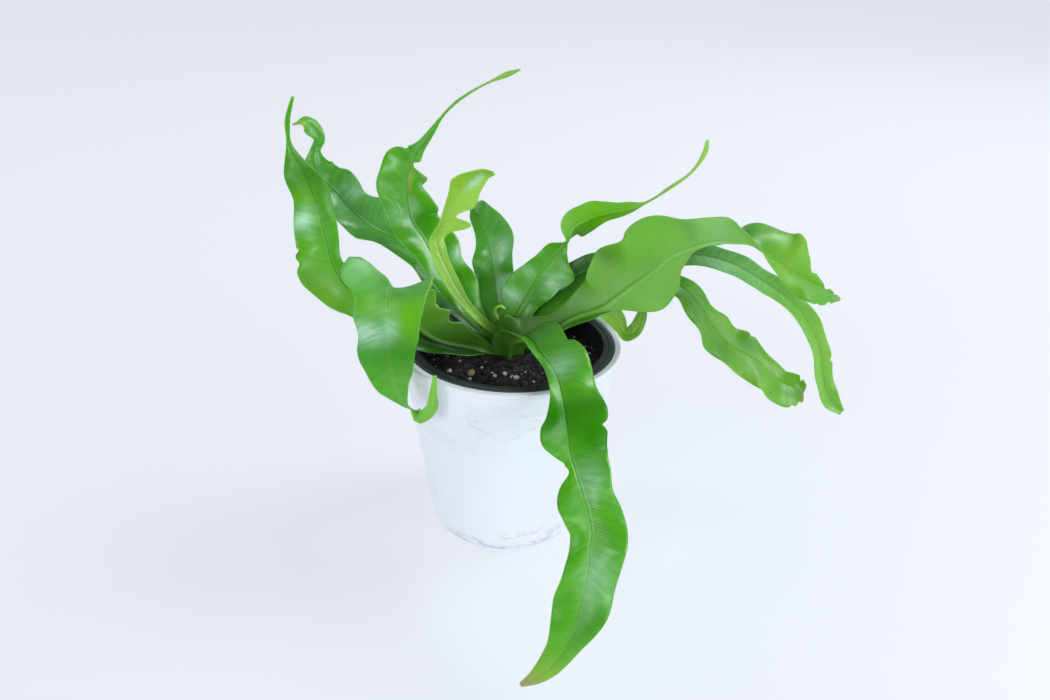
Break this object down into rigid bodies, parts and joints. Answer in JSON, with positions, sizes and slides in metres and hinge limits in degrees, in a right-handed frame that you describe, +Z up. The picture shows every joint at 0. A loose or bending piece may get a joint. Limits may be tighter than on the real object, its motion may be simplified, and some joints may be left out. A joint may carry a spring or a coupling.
{
  "type": "potted fern",
  "caption": "Potted fern with long waved strap fronds round a low crown, in a black nursery pot set inside a white tapered pot.",
  "frame": {"origin": "centre of the outer pot's flat underside, on the surface it stands on", "axes": "+Z up along the pot's axis, +X to the viewer's right, +Y away from the viewer"},
  "size_m": [0.3053, 0.2046, 0.2271],
  "materials": {
    "glaze": "satin white with faint blue-grey veins",
    "black_plastic": "matt",
    "soil": "dark crumbly potting soil with white grains",
    "rhizome": "rough brown scales",
    "leaf": "glossy green leaf",
    "back_leaf": "glossy green leaf",
    "young_leaf": "glossy yellow-green young leaf"
  },
  "bodies": {
    "root": {"outer_pot": "glaze", "nursery_pot": "black_plastic", "soil": "soil", "crown": "rhizome", "frond_left_hook": "leaf", "frond_back_left": "back_leaf", "frond_left_droop": "leaf", "frond_tall_thread": "leaf", "frond_young_lime": "young_leaf", "frond_back_upright": "back_leaf", "frond_right_thread": "leaf", "frond_big_right": "leaf", "frond_long_right": "leaf", "frond_lower_right": "leaf", "frond_back_right": "back_leaf", "frond_front": "leaf", "young_crozier": "young_leaf"}
  },
  "joints": []
}
